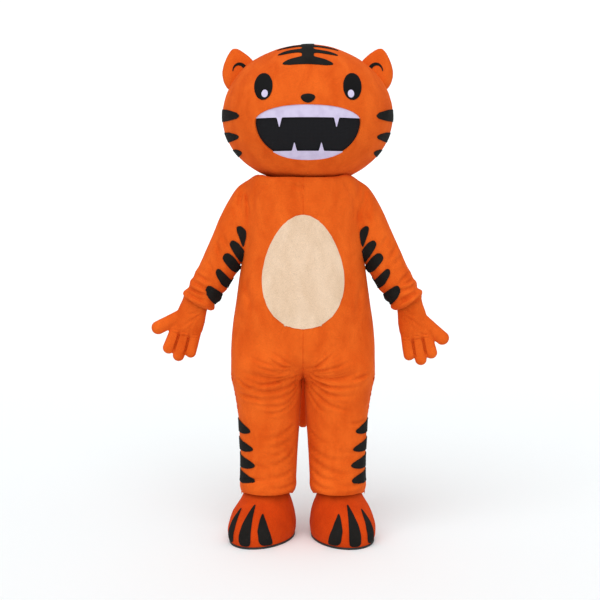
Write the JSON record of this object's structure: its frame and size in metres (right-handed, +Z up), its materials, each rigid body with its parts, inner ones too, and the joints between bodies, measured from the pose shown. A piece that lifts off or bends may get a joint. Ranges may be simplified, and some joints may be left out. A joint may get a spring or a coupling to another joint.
{
  "type": "tiger mascot costume",
  "caption": "Worn tiger mascot costume: big hollow head with open mouth, plush suit with belly patch and stripes, tail, back zip, gloves and dome shoe covers.",
  "frame": {"origin": "midway between the wearer's shoulders, at the top of the shoulders, where the costume is held up", "axes": "+Z up, the face looks along -Y, +X is towards the wearer's left hand"},
  "size_m": [1.1611, 0.5897, 1.9144],
  "materials": {
    "orange_plush": "short-pile polyester plush",
    "shoe_plush": "short-pile plush, deeper orange",
    "cream_plush": "short-pile plush",
    "black_plush": "short-pile plush applique",
    "black_mesh": "see-through net in the mouth",
    "white_felt": "felt, white with a lavender cast",
    "black_vinyl": "smooth vinyl",
    "sole_rubber": "matt foam rubber",
    "zip_cloth": "woven polyester tape",
    "zip_metal": "plated zinc"
  },
  "bodies": {
    "costume": {"arm_stripe_left_1": "black_plush", "arm_stripe_left_2": "black_plush", "arm_stripe_left_3": "black_plush", "arm_stripe_left_4": "black_plush", "arm_stripe_left_5": "black_plush", "arm_stripe_right_1": "black_plush", "arm_stripe_right_2": "black_plush", "arm_stripe_right_3": "black_plush", "arm_stripe_right_4": "black_plush", "arm_stripe_right_5": "black_plush", "belly_patch": "cream_plush", "body_back_left": "orange_plush", "body_back_right": "orange_plush", "body_front_left": "orange_plush", "body_front_right": "orange_plush", "cheek_stripe_left_1": "black_plush", "cheek_stripe_left_2": "black_plush", "cheek_stripe_left_3": "black_plush", "cheek_stripe_right_1": "black_plush", "cheek_stripe_right_2": "black_plush", "cheek_stripe_right_3": "black_plush", "ear_left": "orange_plush", "ear_right": "orange_plush", "eye_left": "black_vinyl", "eye_right": "black_vinyl", "forehead_mark": "black_plush", "glove_left": "orange_plush", "glove_right": "orange_plush", "head_back_left": "orange_plush", "head_back_right": "orange_plush", "head_front_left": "orange_plush", "head_front_right": "orange_plush", "leg_stripe_left_1": "black_plush", "leg_stripe_left_2": "black_plush", "leg_stripe_left_3": "black_plush", "leg_stripe_left_4": "black_plush", "leg_stripe_right_1": "black_plush", "leg_stripe_right_2": "black_plush", "leg_stripe_right_3": "black_plush", "leg_stripe_right_4": "black_plush", "mouth_screen": "black_mesh", "nose": "black_plush", "shoe_sole_left": "sole_rubber", "shoe_sole_right": "sole_rubber", "shoe_upper_left": "shoe_plush", "shoe_upper_right": "shoe_plush", "sleeve_left": "orange_plush", "sleeve_right": "orange_plush", "tail": "orange_plush", "teeth_lower": "white_felt", "teeth_upper": "white_felt", "toe_stripe_left_1": "black_plush", "toe_stripe_left_2": "black_plush", "toe_stripe_left_3": "black_plush", "toe_stripe_right_1": "black_plush", "toe_stripe_right_2": "black_plush", "toe_stripe_right_3": "black_plush", "zip_slider": "zip_metal", "zip_tape": "zip_cloth"},
    "pull_tab": {"zip_pull": "zip_metal"}
  },
  "joints": [
    {"name": "pull_tab_swing", "type": "hinge", "parent": "costume", "child": "pull_tab", "pos_m": [0, 0.1579, 0.025], "axis": [1, 0, 0], "range_deg": [0, 150]}
  ]
}
